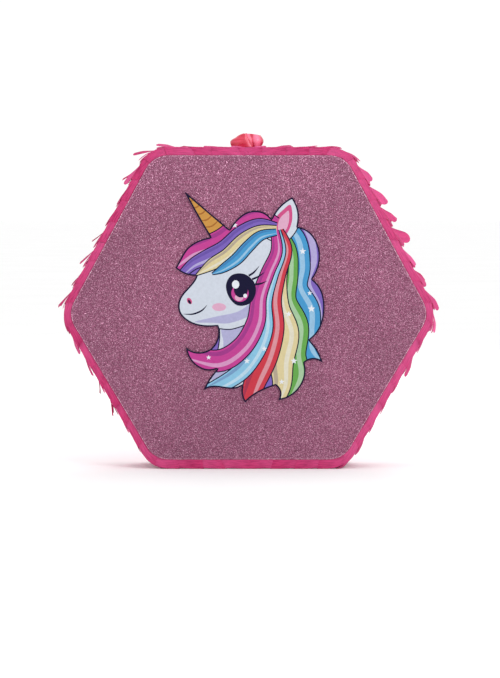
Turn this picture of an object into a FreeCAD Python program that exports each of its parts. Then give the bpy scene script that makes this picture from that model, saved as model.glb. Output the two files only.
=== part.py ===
"""A hexagonal party pinata: a flat corrugated-board drum with a glitter face, a printed unicorn cutout,
rows of cut crepe round its walls, a satin hanging ribbon on top and a hinged filler flap in its back.

Frame: +X to the viewer's right, +Y from the glitter face towards the back, +Z up, millimetres.
The origin is the bottom centre of the whole object, which stands on its bottom wall.
"""

import FreeCAD
import Part
import math
import os

V = FreeCAD.Vector

# ---------------------------------------------------------------- driving dimensions
# The hexagon, as its corners would be before they are rounded.
panel_width = 432.0
panel_height = 363.0
top_side = 227.0
bottom_side = 225.0
side_corner_drop = 7.5
corner_radius = 35.0

box_depth = 76.0
board = 3.0
slack = 0.3

# Paper tape over the seams, and the crepe underwrap that covers it and folds onto both faces.
tape = 0.3
tape_on_wall = 16.0
tape_on_face = 15.0
wrap = 0.5
wrap_lip = 14.0
joint_tape_width = 40.0

# Glitter foam sheet on the front, card on the back.
glitter = 2.0
glitter_inset = 7.0
cover = 0.4
cover_inset = 6.0

# Cut crepe rows, laid like shingles from the middle of the top down both sides.
row_pitch = 27.0
row_length = 36.0
row_paper = 0.4
row_rise = 3.2
row_steps = 18
first_row = 14.0
row_side_margin = 0.5
row_end_gap = 2.0

# Printed cutout on foam pads.
pad = 1.0
pad_size = 12.0
cutout = 1.2
cutout_x = -2.0
cutout_raise = 13.0

# Hanging ribbon: its slit in the top wall, the loop that lies back on the top, and the knot inside.
ribbon_x = -2.0
ribbon_width = 16.0
ribbon_paper = 0.8
slit_length = 16.0
slit_width = 5.0
slit_clearance = 0.6
loop_radius = 19.5
loop_reach = 34.0
loop_gap = 0.8
loop_root = 4.0
root_rise = 4.0
knot_width = 17.0
knot_height = 11.0
knot_depth = 12.0
tail_length = 26.0
tail_width = 9.0
plate_length = 64.0
plate_depth = 46.0

# Filler flap, hinged along its top edge.
door_width = 120.0
door_height = 90.0
door_below_top = 73.0
door_corner = 10.0
door_gap = 0.8
thumb_radius = 9.0
hinge_gap = 0.4
hinge_tape_width = 15.0
hinge_tape_setback = 1.0
stop_width = 14.0
stop_overhang = 6.0
stop_height = 70.0

# ---------------------------------------------------------------- places worked out from them
front_stack = tape + wrap + glitter + pad + cutout
back_stack = tape + wrap + cover + tape
front_board_y = -(box_depth + front_stack + back_stack) / 2 + front_stack
back_board_y = front_board_y + box_depth
front_lip_y = front_board_y - tape - wrap
back_lip_y = back_board_y + tape + wrap
glitter_y = front_lip_y - glitter
pad_y = glitter_y - pad
cutout_y = pad_y - cutout
cover_y = back_lip_y + cover
skin = tape + wrap
fringe_stand = row_rise + row_paper
panel_z = skin + fringe_stand
top_z = panel_z + panel_height
middle_z = panel_z + panel_height / 2
side_corner_z = middle_z - side_corner_drop
cutout_z = middle_z + cutout_raise
hinge_z = top_z - door_below_top
loop_z = top_z + skin + fringe_stand + loop_gap


# ---------------------------------------------------------------- the rounded hexagon
def sharp_corners():
    """The six corners before rounding, clockwise as seen from the front, from the top right."""
    return [
        (top_side / 2, top_z),
        (panel_width / 2, side_corner_z),
        (bottom_side / 2, panel_z),
        (-bottom_side / 2, panel_z),
        (-panel_width / 2, side_corner_z),
        (-top_side / 2, top_z),
    ]


def arc_centres():
    """Centres of the corner arcs: each corner moved in by the corner radius from both its sides."""
    corners = sharp_corners()
    centres = []
    for i, (x, z) in enumerate(corners):
        ax, az = corners[i - 1]
        bx, bz = corners[(i + 1) % 6]
        before = V(x - ax, 0, z - az).normalize()
        after = V(bx - x, 0, bz - z).normalize()
        half_turn = before.getAngle(after) / 2
        inward = (after - before).normalize()
        centres.append(V(x, 0, z) + inward * (corner_radius / math.cos(half_turn)))
    return centres


CENTRES = arc_centres()


def side_directions():
    """Unit vectors along the six sides, side i running from corner i to corner i + 1."""
    return [(CENTRES[(i + 1) % 6] - CENTRES[i]).normalize() for i in range(6)]


SIDES = side_directions()


def outward(direction):
    """The outward normal of a side that runs clockwise."""
    return V(-direction.z, 0, direction.x)


def outline_wire(offset, y):
    """The rounded hexagon, moved out by offset from the boards' edge, in the plane at y."""
    radius = corner_radius + offset
    lift = V(0, y, 0)
    edges = []
    for i in range(6):
        centre = CENTRES[i]
        n_before = outward(SIDES[i - 1])
        n_after = outward(SIDES[i])
        n_middle = (n_before + n_after).normalize()
        start = centre + n_before * radius + lift
        middle = centre + n_middle * radius + lift
        end = centre + n_after * radius + lift
        next_start = CENTRES[(i + 1) % 6] + n_after * radius + lift
        edges.append(Part.Arc(start, middle, end).toShape())
        edges.append(Part.makeLine(end, next_start))
    return Part.Wire(edges)


def plate(offset, y, thickness):
    """A rounded hexagonal plate from y to y + thickness."""
    return Part.Face(outline_wire(offset, y)).extrude(V(0, thickness, 0))


def band(outer, inner, y, length):
    """A hexagonal ring between two offsets, from y to y + length."""
    return plate(outer, y, length).cut(plate(inner, y, length))


def block(x0, x1, y0, y1, z0, z1):
    return Part.makeBox(x1 - x0, y1 - y0, z1 - z0, V(x0, y0, z0))


def walk_outline(distance, offset):
    """Point and unit direction on the right-hand outline, distance along it from the middle of the top."""
    radius = corner_radius + offset
    # Side 5 is the top, which runs left to right; the walk then passes corners 0, 1 and 2.
    top = SIDES[5]
    start = V((CENTRES[5].x + CENTRES[0].x) / 2, 0, CENTRES[0].z) + outward(top) * radius
    left = distance
    straight = (CENTRES[0] - CENTRES[5]).Length / 2
    for corner in range(3):
        direction = SIDES[corner - 1]
        if left <= straight:
            return start + direction * left, direction
        left -= straight
        turn = SIDES[corner - 1].getAngle(SIDES[corner])
        if left <= turn * radius:
            spin = FreeCAD.Rotation(V(0, 1, 0), math.degrees(left / radius))
            n = spin.multVec(outward(direction))
            return CENTRES[corner] + n * radius, V(n.z, 0, -n.x)
        left -= turn * radius
        start = CENTRES[corner] + outward(SIDES[corner]) * radius
        straight = (CENTRES[corner + 1] - CENTRES[corner]).Length
    return start + SIDES[2] * left, SIDES[2]


def walk_outline_at(distance, offset):
    """The same walk, measured along the crepe underwrap, but to the point lifted off to another offset."""
    root, along = walk_outline(distance, skin)
    return root + outward(along) * (offset - skin)


def half_outline_length(offset):
    """Length of the outline from the middle of the top to the middle of the bottom."""
    radius = corner_radius + offset
    straights = (CENTRES[0] - CENTRES[5]).Length / 2
    straights += (CENTRES[1] - CENTRES[0]).Length
    straights += (CENTRES[2] - CENTRES[1]).Length
    straights += (CENTRES[3] - CENTRES[2]).Length / 2
    return straights + math.pi * radius


# ---------------------------------------------------------------- boards and tapes
def ribbon_slit(z0, z1):
    """The slit through the top wall, as a solid to cut with."""
    return block(
        ribbon_x - slit_length / 2,
        ribbon_x + slit_length / 2,
        -slit_width / 2,
        slit_width / 2,
        z0,
        z1,
    )


def door_hole(y0, y1, gap=0.0):
    """The flap's outline, smaller by gap on its free sides, with rounded lower corners."""
    half = door_width / 2 - gap
    low = hinge_z - door_height + gap
    high = hinge_z - (hinge_gap if gap else 0.0)
    body = block(-half, half, y0, y1, low, high)
    lower = [
        e
        for e in body.Edges
        if abs(e.CenterOfMass.z - low) < 1e-6 and abs(abs(e.CenterOfMass.x) - half) < 1e-6
    ]
    return body.makeFillet(door_corner, lower)


def thumb_notch(y0, y1):
    """A half-round notch below the flap, for a thumb to pull it open."""
    return Part.makeCylinder(
        thumb_radius, y1 - y0, V(0, y0, hinge_z - door_height), V(0, 1, 0)
    )


def side_wall(upper):
    """One of the two scored strips that make the box's wall. They meet at the side corners."""
    ring = band(0, -board, front_board_y + board, box_depth - 2 * board)
    reach = panel_width
    if upper:
        half = ring.common(block(-reach, reach, -reach, reach, side_corner_z, side_corner_z + reach))
        return half.cut(ribbon_slit(top_z - 2 * board, top_z + board))
    return ring.common(block(-reach, reach, -reach, reach, side_corner_z - reach, side_corner_z))


def seam_tape(front):
    """Paper tape folded over a board's edge: a leg on its face and a leg on the wall."""
    if front:
        face_leg = band(tape, -tape_on_face, front_board_y - tape, tape)
        wall_leg = band(tape, 0, front_board_y - tape, tape_on_wall + tape)
    else:
        face_leg = band(tape, -tape_on_face, back_board_y, tape)
        wall_leg = band(tape, 0, back_board_y - tape_on_wall, tape_on_wall + tape)
    return face_leg.fuse(wall_leg).removeSplitter()


def wall_joint_tapes():
    """Tape inside the box over the two butt joints between the wall strips."""
    inner = band(-board, -board - tape, front_board_y + board, box_depth - 2 * board)
    half = joint_tape_width / 2
    reach = panel_width
    return inner.common(block(-reach, reach, -reach, reach, side_corner_z - half, side_corner_z + half))


def crepe_underwrap():
    """Crepe round the whole wall, folded onto the borders of both faces."""
    length = back_lip_y - front_lip_y
    wall = band(skin, tape, front_lip_y, length)
    front_fold = band(skin, -wrap_lip, front_lip_y, wrap)
    back_fold = band(skin, -wrap_lip, back_lip_y - wrap, wrap)
    whole = wall.fuse([front_fold, back_fold]).removeSplitter()
    return whole.cut(ribbon_slit(top_z - board, top_z + 2 * skin))


# ---------------------------------------------------------------- faces
def glitter_sheet():
    """Glitter foam over the front board: its border lies on the crepe fold and the tape."""
    border = plate(-glitter_inset, glitter_y, glitter)
    to_wrap = plate(-wrap_lip - slack, front_lip_y, wrap)
    to_tape = plate(-tape_on_face - slack, front_board_y - tape, tape)
    return border.fuse([to_wrap, to_tape]).removeSplitter()


def back_cover():
    """Card over the back board, with the flap's opening."""
    border = plate(-cover_inset, back_lip_y, cover)
    to_wrap = plate(-wrap_lip - slack, back_lip_y - wrap, wrap)
    to_tape = plate(-tape_on_face - slack, back_board_y, tape)
    sheet = border.fuse([to_wrap, to_tape]).removeSplitter()
    sheet = sheet.cut(door_hole(back_board_y - board, cover_y + board))
    return sheet.cut(thumb_notch(back_board_y - board, cover_y + board))


def back_panel():
    board_plate = plate(0, back_board_y - board, board)
    board_plate = board_plate.cut(door_hole(back_board_y - 2 * board, cover_y))
    return board_plate.cut(thumb_notch(back_board_y - 2 * board, cover_y))


# ---------------------------------------------------------------- cut crepe rows
def crepe_row(distance):
    """One crepe strip on the right-hand wall: glued at its root, it climbs over the next row's root
    and then lies parallel to the wall, so that the bottom rows give the object flat strips to stand on."""
    length = min(row_length, half_outline_length(skin) - row_end_gap - distance)
    lower, upper = [], []
    for i in range(row_steps + 1):
        along = length * i / row_steps
        lift = skin + row_rise * min(1.0, along / row_pitch)
        lower.append(walk_outline_at(distance + along, lift))
        upper.append(walk_outline_at(distance + along, lift + row_paper))
    corners = lower + upper[::-1]
    face = Part.Face(Part.makePolygon(corners + corners[:1]))
    face.translate(V(0, front_board_y - row_side_margin, 0))
    return face.extrude(V(0, box_depth + 2 * row_side_margin, 0)).removeSplitter()


def crepe_rows():
    """The rows of every wall, as {node name: list of solids}."""
    walls = {}
    count = int((half_outline_length(skin) - first_row) // row_pitch) + 1
    for i in range(count):
        distance = first_row + i * row_pitch
        root, along = walk_outline(distance, skin)
        row = crepe_row(distance)
        twin = row.mirror(V(0, 0, 0), V(1, 0, 0))
        drop = math.degrees(V(1, 0, 0).getAngle(along))
        if drop < 30:
            walls.setdefault("fringe_top", []).extend([row, twin])
        elif drop < 90:
            walls.setdefault("fringe_upper_right", []).append(row)
            walls.setdefault("fringe_upper_left", []).append(twin)
        elif drop < 150:
            walls.setdefault("fringe_lower_right", []).append(row)
            walls.setdefault("fringe_lower_left", []).append(twin)
        else:
            walls.setdefault("fringe_bottom", []).extend([row, twin])
    return walls


# ---------------------------------------------------------------- printed unicorn cutout
# The cutout's outline, in millimetres from its own middle: runs of points that a smooth curve passes
# through, each run ending in the sharp corner that starts the next.
CUTOUT_RUNS = [
    # right edge of the horn, forelock, both edges of the ear
    [(-72, 121), (-46, 99), (-20, 77)],
    [(-20, 77), (-10, 90), (4, 98), (18, 97), (28, 89)],
    [(28, 89), (38, 104), (52, 114)],
    [(52, 114), (59, 98), (58, 80)],
    # back of the mane, down to its first curl
    [(58, 80), (72, 74), (82, 58), (83, 38), (75, 20)],
    [(75, 20), (86, 6), (89, -14), (85, -34), (72, -50)],
    [(72, -50), (80, -60), (87, -76)],
    [(87, -76), (76, -72), (66, -76)],
    # ends of the locks along the bottom
    [(66, -76), (66, -94), (56, -110), (36, -119)],
    [(36, -119), (38, -110), (33, -102)],
    [(33, -102), (22, -106), (10, -112), (-2, -122)],
    [(-2, -122), (-6, -112), (-5, -102)],
    [(-5, -102), (-20, -106), (-36, -104), (-50, -108)],
    [(-50, -108), (-44, -96), (-34, -83)],
    [(-34, -83), (-50, -84), (-64, -74), (-70, -58)],
    [(-70, -58), (-56, -64), (-42, -60), (-34, -48), (-34, -34)],
    # chin, muzzle and nose, the forelock's end, left edge of the horn
    [(-34, -34), (-52, -34), (-67, -29), (-78, -17), (-77, -2), (-66, 12), (-58, 24)],
    [(-58, 24), (-68, 25), (-82, 33)],
    [(-82, 33), (-76, 44), (-68, 56), (-56, 64), (-42, 68)],
    [(-42, 68), (-58, 95), (-72, 121)],
]


def cutout_wire(y):
    middle = V(cutout_x, y, cutout_z)
    edges = []
    for run in CUTOUT_RUNS:
        points = [middle + V(u, 0, v) for u, v in run]
        curve = Part.BSplineCurve()
        curve.interpolate(Points=points)
        edges.append(curve.toShape())
    return Part.Wire(edges)


# Centres of the foam squares, from the cutout's middle.
PAD_PLACES = [(-36, 76), (8, 84), (62, 40), (-40, 0), (20, 10), (64, -36), (6, -50), (50, -88), (-42, -72)]


def foam_pads():
    """Double-sided foam squares that stand the cutout off the glitter sheet."""
    pads = []
    for u, v in PAD_PLACES:
        x = cutout_x + u
        z = cutout_z + v
        half = pad_size / 2
        pads.append(block(x - half, x + half, pad_y, glitter_y, z - half, z + half))
    return pads


# ---------------------------------------------------------------- hanging ribbon
def anchor_plate():
    """Board glued under the top wall, which spreads the ribbon's pull."""
    under = top_z - board
    board_piece = block(
        ribbon_x - plate_length / 2,
        ribbon_x + plate_length / 2,
        -plate_depth / 2,
        plate_depth / 2,
        under - board,
        under,
    )
    return board_piece.cut(ribbon_slit(under - 2 * board, top_z))


def ribbon_knot():
    """The ribbon inside the box: its doubled run up through the slit, the knot and the two tails."""
    knot_top = top_z - 2 * board - slack
    half_long = slit_length / 2 - slit_clearance
    half_thick = slit_width / 2 - slit_clearance
    run = block(
        ribbon_x - half_long,
        ribbon_x + half_long,
        -half_thick,
        half_thick,
        knot_top - knot_height / 2,
        top_z + root_rise,
    )
    knot = block(
        ribbon_x - knot_width / 2,
        ribbon_x + knot_width / 2,
        -knot_depth / 2,
        knot_depth / 2,
        knot_top - knot_height,
        knot_top,
    )
    knot = knot.makeFillet(knot_height * 0.3, knot.Edges)
    solid = run.fuse(knot)
    for side in (-1, 1):
        middle = ribbon_x + side * knot_width / 4
        solid = solid.fuse(
            block(
                middle - tail_width / 2,
                middle + tail_width / 2,
                side * half_thick / 2 - ribbon_paper,
                side * half_thick / 2 + ribbon_paper,
                knot_top - knot_height / 2 - tail_length,
                knot_top - knot_height / 2,
            )
        )
    return solid.removeSplitter()


def loop_face(inset):
    """The loop's drop shape from above: a round end, and two straight legs that meet at the root."""
    radius = loop_radius - inset
    centre = V(ribbon_x, loop_reach - loop_radius, loop_z)
    root_half = loop_root - inset
    root_y = -slit_width / 2 + inset
    angle = math.radians(20)
    right_end = centre + V(radius * math.cos(angle), -radius * math.sin(angle), 0)
    left_end = centre + V(-radius * math.cos(angle), -radius * math.sin(angle), 0)
    far = centre + V(0, radius, 0)
    root_right = V(ribbon_x + root_half, root_y, loop_z)
    root_left = V(ribbon_x - root_half, root_y, loop_z)
    edges = [
        Part.Arc(right_end, far, left_end).toShape(),
        Part.makeLine(left_end, root_left),
        Part.makeLine(root_left, root_right),
        Part.makeLine(root_right, right_end),
    ]
    return Part.Face(Part.Wire(edges))


def hanging_ribbon():
    """The loop above the top wall, lying back with the ribbon on its edge."""
    height = V(0, 0, ribbon_width)
    return loop_face(0).extrude(height).cut(loop_face(ribbon_paper).extrude(height))


# ---------------------------------------------------------------- filler flap
def filler_flap():
    return door_hole(back_board_y - board, back_board_y, door_gap)


def flap_cover():
    return door_hole(back_board_y, cover_y, door_gap)


def hinge_tape(upper):
    """Tape over the flap's fold: one leg on the back cover, the other on the flap."""
    half = door_width / 2 - door_gap
    if upper:
        low = hinge_z + hinge_tape_setback
    else:
        low = hinge_z - hinge_tape_setback - hinge_tape_width
    return block(-half, half, cover_y, cover_y + tape, low, low + hinge_tape_width)


def door_stops():
    """Board strips inside the back board, which keep the flap from being pushed in."""
    inner = back_board_y - board
    stops = []
    for side in (-1, 1):
        edge = side * door_width / 2
        x0, x1 = sorted((edge - side * stop_overhang, edge - side * stop_overhang + side * stop_width))
        middle = hinge_z - door_height / 2
        strip = block(x0, x1, inner - board, inner, middle - stop_height / 2, middle + stop_height / 2)
        o0, o1 = sorted((edge - side * stop_overhang, edge))
        relief = block(o0, o1, inner - slack, inner, middle - stop_height, middle + stop_height)
        stops.append(strip.cut(relief))
    return stops


# ---------------------------------------------------------------- writing the parts
def build():
    parts = {
        "front_panel": [plate(0, front_board_y, board)],
        "back_panel": [back_panel()],
        "side_wall_upper": [side_wall(True)],
        "side_wall_lower": [side_wall(False)],
        "wall_joint_tapes": wall_joint_tapes().Solids,
        "front_seam_tape": [seam_tape(True)],
        "back_seam_tape": [seam_tape(False)],
        "crepe_underwrap": [crepe_underwrap()],
        "glitter_sheet": [glitter_sheet()],
        "back_cover": [back_cover()],
        "foam_pads": foam_pads(),
        "unicorn_cutout": [Part.Face(cutout_wire(cutout_y)).extrude(V(0, cutout, 0))],
        "anchor_plate": [anchor_plate()],
        "ribbon_knot": [ribbon_knot()],
        "hanging_ribbon": [hanging_ribbon()],
        "filler_flap": [filler_flap()],
        "flap_cover": [flap_cover()],
        "hinge_tape_upper": [hinge_tape(True)],
        "hinge_tape_lower": [hinge_tape(False)],
        "door_stops": door_stops(),
    }
    parts.update(crepe_rows())
    return parts


def write(parts):
    os.makedirs("parts", exist_ok=True)
    for name, pieces in sorted(parts.items()):
        solids = [s for piece in pieces for s in piece.Solids]
        bad = [s for s in solids if not s.isValid() or s.Volume <= 0]
        print(name, len(solids), "solids", round(sum(s.Volume for s in solids)), "mm3", "BAD" if bad else "")
        shape = solids[0] if len(solids) == 1 else Part.makeCompound(solids)
        shape.exportStep(os.path.join("parts", name + ".step"))


write(build())
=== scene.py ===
import functools
import math
import random

import bmesh
import bpy
import numpy
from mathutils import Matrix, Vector, geometry
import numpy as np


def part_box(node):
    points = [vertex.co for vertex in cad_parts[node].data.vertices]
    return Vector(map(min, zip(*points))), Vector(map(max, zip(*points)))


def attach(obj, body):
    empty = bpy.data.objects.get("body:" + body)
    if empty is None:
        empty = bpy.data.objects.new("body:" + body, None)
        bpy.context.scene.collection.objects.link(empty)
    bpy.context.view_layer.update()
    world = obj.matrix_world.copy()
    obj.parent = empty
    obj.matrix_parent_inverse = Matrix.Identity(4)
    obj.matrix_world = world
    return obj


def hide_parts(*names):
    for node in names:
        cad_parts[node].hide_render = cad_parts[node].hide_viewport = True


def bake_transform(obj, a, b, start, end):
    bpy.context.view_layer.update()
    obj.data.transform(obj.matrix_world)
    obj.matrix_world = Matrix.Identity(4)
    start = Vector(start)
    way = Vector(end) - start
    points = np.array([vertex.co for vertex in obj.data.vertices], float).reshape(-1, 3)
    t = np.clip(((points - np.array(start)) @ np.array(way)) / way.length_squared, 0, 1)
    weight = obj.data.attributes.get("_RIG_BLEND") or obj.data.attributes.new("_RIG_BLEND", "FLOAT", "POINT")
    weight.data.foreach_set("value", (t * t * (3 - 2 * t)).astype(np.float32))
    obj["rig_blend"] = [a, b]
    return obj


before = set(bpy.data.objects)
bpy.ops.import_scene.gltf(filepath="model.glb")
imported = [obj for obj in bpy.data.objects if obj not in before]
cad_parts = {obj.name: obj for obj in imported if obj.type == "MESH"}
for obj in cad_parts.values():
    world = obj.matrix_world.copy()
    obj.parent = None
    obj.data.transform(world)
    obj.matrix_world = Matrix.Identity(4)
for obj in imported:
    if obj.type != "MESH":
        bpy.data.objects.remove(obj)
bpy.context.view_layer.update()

MM = 0.001
# Places nearer than this are the same.
THIN = 1e-6


# ---------------- places, read from the frame
def span(name):
    """A piece's lowest and highest corners."""
    low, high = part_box(name)
    return Vector(low), Vector(high)


BOARD_LOW, BOARD_HIGH = span("front_panel")
BACK_LOW = span("back_panel")[0]
WRAP_LOW, WRAP_HIGH = span("crepe_underwrap")
CARD_LOW, CARD_HIGH = span("unicorn_cutout")
LOOP_LOW, LOOP_HIGH = span("hanging_ribbon")
KNOT_LOW, KNOT_HIGH = span("ribbon_knot")
SKIN = WRAP_HIGH.x - BOARD_HIGH.x
BOARD = BOARD_HIGH.y - BOARD_LOW.y
FRONT_FACE = WRAP_LOW.y
BACK_FACE = WRAP_HIGH.y

# Crepe rows, as they are glued on: where the first starts, their pitch and length, how far short of the
# bottom's middle they stop, and how many tabs each is cut into.
FIRST_ROW = 14 * MM
ROW_PITCH = 27 * MM
ROW_LENGTH = 36 * MM
ROW_END_GAP = 2 * MM
TABS = 9
# The paper's thickness over its ridges, and the uncut root that is glued down.
PAPER = 0.22 * MM
ROOT = 8 * MM
# The paper's least height over what the box stands on.
LOWEST = 0.26 * MM
# How steeply a row rises from the wall, over the row under it.
RAMP = 0.06
# The cap row starts before the top's middle, is shorter, and leaves the ribbon's slit clear.
CAP_START = -10 * MM
CAP_LENGTH = 30 * MM
SLIT_CLEARANCE = 5 * MM
# How far the outer tabs keep from the faces, and how far the cuts between tabs wander.
EDGE_MARGIN = 0.9 * MM
CUT_WANDER = 1.4 * MM
GLITTER_INSET = BOARD_HIGH.x - span("glitter_sheet")[1].x
COVER_INSET = BOARD_HIGH.x - span("back_cover")[1].x


def board_outline():
    """The crepe underwrap's rounded hexagon, clockwise from the middle of the top, as (x, z) points."""
    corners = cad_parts["front_panel"].data.vertices
    rim = {(round(v.co.x, 6), round(v.co.z, 6)) for v in corners if v.co.y < BOARD_LOW.y + THIN}
    middle = (BOARD_LOW.z + BOARD_HIGH.z) / 2
    ring = sorted(rim, key=lambda p: math.atan2(p[0], p[1] - middle) % math.tau)
    ring = [(0.0, BOARD_HIGH.z)] + [p for p in ring if abs(p[0]) > THIN or p[1] < middle]
    points = [Vector(p) for p in ring]
    moved = []
    for i, point in enumerate(points):
        ahead = (points[(i + 1) % len(points)] - point).normalized()
        behind = (point - points[i - 1]).normalized()
        normal = Vector((-ahead.y - behind.y, ahead.x + behind.x)).normalized()
        moved.append(point + normal * SKIN)
    return moved


OUTLINE = board_outline()
LENGTHS = [0.0]
for here, there in zip(OUTLINE, OUTLINE[1:] + OUTLINE[:1]):
    LENGTHS.append(LENGTHS[-1] + (there - here).length)
HALF = LENGTHS[-1] / 2


def on_outline(distance):
    """The point on the outline at a distance clockwise from the middle of the top."""
    distance %= LENGTHS[-1]
    for i in range(len(OUTLINE)):
        if distance <= LENGTHS[i + 1]:
            break
    share = (distance - LENGTHS[i]) / (LENGTHS[i + 1] - LENGTHS[i])
    return OUTLINE[i].lerp(OUTLINE[(i + 1) % len(OUTLINE)], share)


def walk(distance):
    """Point on the underwrap, direction of travel and outward normal, distance from the top's middle."""
    reach = 3 * MM
    along = (on_outline(distance + reach) - on_outline(distance - reach)).normalized()
    return on_outline(distance), along, Vector((-along.y, along.x))


# ---------------- small makers
def put(bm, name, body, material):
    """Makes a mesh an object in the scene that rides on a body."""
    mesh = bpy.data.meshes.new(name)
    bm.to_mesh(mesh)
    bm.free()
    mesh.materials.append(material)
    piece = bpy.data.objects.new(name, mesh)
    bpy.context.scene.collection.objects.link(piece)
    if body:
        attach(piece, body)
    return piece


def thicken(piece, thickness, offset):
    """Gives a sheet its thickness, on the side that its normals point to (1) or on the other (-1)."""
    bpy.ops.object.select_all(action="DESELECT")
    piece.select_set(True)
    bpy.context.view_layer.objects.active = piece
    solidify = piece.modifiers.new("thickness", "SOLIDIFY")
    solidify.thickness = thickness
    solidify.offset = offset
    bpy.ops.object.modifier_apply(modifier=solidify.name)


def add_patch(bm, rows, flip, shade=0.5, painted_shadow_along=0.0, across=0.0):
    """Adds a grid of (point, u, v) rows to a mesh as quads, with a UV map in metres and a shade, which
    changes by painted_shadow_along along the rows and by across from their first point to their last."""
    uv_layer = bm.loops.layers.uv["paper"]
    shade_layer = bm.faces.layers.float["shade"]
    grid = [[bm.verts.new(point) for point, u, v in row] for row in rows]
    for i in range(len(rows) - 1):
        for j in range(len(rows[0]) - 1):
            corners = [(i, j), (i, j + 1), (i + 1, j + 1), (i + 1, j)]
            if flip:
                corners.reverse()
            face = bm.faces.new([grid[a][b] for a, b in corners])
            face[shade_layer] = shade + painted_shadow_along * i / max(1, len(rows) - 2) + across * j / (len(rows[0]) - 2)
            for loop, (a, b) in zip(face.loops, corners):
                loop[uv_layer].uv = rows[a][b][1:]


def paper_mesh():
    """An empty mesh, ready for patches."""
    bm = bmesh.new()
    bm.loops.layers.uv.new("paper")
    bm.faces.layers.float.new("shade")
    return bm


def finish_sheet(bm, name, body, material, thickness=PAPER):
    """Welds a sheet's grids and gives it its thickness, outwards from the side its normals point to."""
    bmesh.ops.remove_doubles(bm, verts=bm.verts, dist=0.02 * MM)
    piece = put(bm, name, body, material)
    thicken(piece, thickness, 1)
    bpy.ops.object.shade_smooth_by_angle(angle=math.radians(40))
    return piece


# ---------------- materials
def linear(code):
    """A colour from its sRGB hex code."""
    values = [int(code[i:i + 2], 16) / 255 for i in (1, 3, 5)]
    return [v / 12.92 if v <= 0.04045 else ((v + 0.055) / 1.055) ** 2.4 for v in values] + [1.0]


def node(material, kind, inputs=None, stops=None, **settings):
    """Adds a node. An input is a value, a hex colour, or a node or a socket to link. settings are the
    node's own properties, and stops are a ramp's hex colours by their position."""
    new = material.node_tree.nodes.new("ShaderNode" + kind)
    for key, value in settings.items():
        setattr(new, key, value)
    for key, value in (inputs or {}).items():
        if isinstance(value, bpy.types.Node):
            value = next(socket for socket in value.outputs if socket.enabled)
        if isinstance(value, bpy.types.NodeSocket):
            material.node_tree.links.new(value, new.inputs[key])
        else:
            new.inputs[key].default_value = linear(value) if isinstance(value, str) else value
    while stops and len(new.color_ramp.elements) < len(stops):
        new.color_ramp.elements.new(0.5)
    for k, (position, code) in enumerate((stops or {}).items()):
        new.color_ramp.elements[k].position = position
        new.color_ramp.elements[k].color = linear(code)
    return new


# The Mix node's settings for two colours.
COLOUR = {"data_type": "RGBA"}
MULTIPLY = {"data_type": "RGBA", "blend_type": "MULTIPLY"}


def per_mm(*sizes):
    """Pattern scales on coordinates in metres, from the pattern's real sizes in millimetres."""
    scales = [1 / (size * MM) for size in sizes]
    return scales[0] if len(scales) == 1 else scales + [1.0] * (3 - len(scales))


def blank(name, coordinates="Object"):
    """A new material, the function that adds a node to it, and its coordinates."""
    material = bpy.data.materials.new(name)
    material.use_nodes = True
    material.node_tree.nodes.clear()
    add = functools.partial(node, material)
    return material, add, add("TexCoord").outputs[coordinates]


def grain(add, place, sizes, detail):
    """Noise whose grains have their own size in millimetres along each axis."""
    stretched = add("Mapping", {"Vector": place, "Scale": per_mm(*sizes)})
    return add("TexNoise", {"Vector": stretched, "Scale": 1.0, "Detail": detail})


def show(material, shader):
    """Ends a material with its shader."""
    node(material, "OutputMaterial", {"Surface": shader})
    return material


def relief(material, colour, height, strength, depth, inputs):
    """Ends a material with a shader over a relief, depth millimetres deep, that is made from height."""
    bump = node(material, "Bump", {"Height": height, "Strength": strength, "Distance": depth * MM})
    shader = {"Base Color": colour, "Normal": bump, "IOR": 1.5, **inputs}
    return show(material, node(material, "BsdfPrincipled", shader))


def crepe_paper(name, on_strip):
    """Pink crepe paper: dyed tissue creped on a drum, so it is matt, lets light through and has fine
    ridges that run the length of each tab."""
    material, add, place = blank(name, "UV" if on_strip else "Object")
    # Ridges 1.1 mm apart, which wander over about 12 mm.
    ridge, cloud = ((1.1, 12), (14, 30)) if on_strip else ((12, 1.1, 12), (30, 14, 30))
    fine = grain(add, place, ridge, 3.0)
    broad = grain(add, place, cloud, 2.0)
    dye = add("ValToRGB", {"Fac": broad}, {0.3: "#C8246A", 0.7: "#DC3A7C"})
    # The hollows between the ridges are painted dark and their crests light, a painted shade over the bump
    # from the same ridges.
    painted_ridge_shading = add("ValToRGB", {"Fac": fine}, {0.34: "#8E1244", 0.56: "#E04A88"})
    creped = add("Mix", {0: 0.5, 6: dye, 7: painted_ridge_shading}, **COLOUR)
    # A strip's shade is partly random, as strips from the outside of a roll are paler, and partly painted
    # light and shadow, from how far a tab turns, which wall the strip is on and where it lies on a margin.
    # The underwrap is in between.
    paleness_and_painted_light = 0.2125
    if on_strip:
        shade = add("Attribute", attribute_name="shade").outputs["Fac"]
        paleness_and_painted_light = add("MapRange", {"Value": shade, "From Max": 1.6, "To Max": 0.85})
    tint = add("Mix", {0: paleness_and_painted_light, 6: creped, 7: "#F878B8"}, **COLOUR)
    bump = add("Bump", {"Height": fine, "Strength": 0.6, "Distance": 0.25 * MM})
    # The tissue's nap glows in its own colour, also where it is seen edge on.
    paper = add("BsdfPrincipled", {
        "Base Color": tint, "Roughness": 0.78, "IOR": 1.5, "Normal": bump, "Specular IOR Level": 0.3,
        "Sheen Weight": 0.25, "Sheen Roughness": 0.5, "Sheen Tint": "#F868A8",
    })
    through = add("BsdfTranslucent", {"Color": tint, "Normal": bump})
    return show(material, add("MixShader", {0: 0.36, 1: paper, 2: through}))


def facing(add):
    """1 on faces square to Y, 0 on a sheet's cut edges."""
    parts = add("SeparateXYZ", {0: add("NewGeometry").outputs["Normal"]})
    size = add("Math", {0: parts.outputs["Y"]}, operation="ABSOLUTE")
    return add("Math", {0: size, 1: 0.7}, operation="GREATER_THAN")


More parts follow.
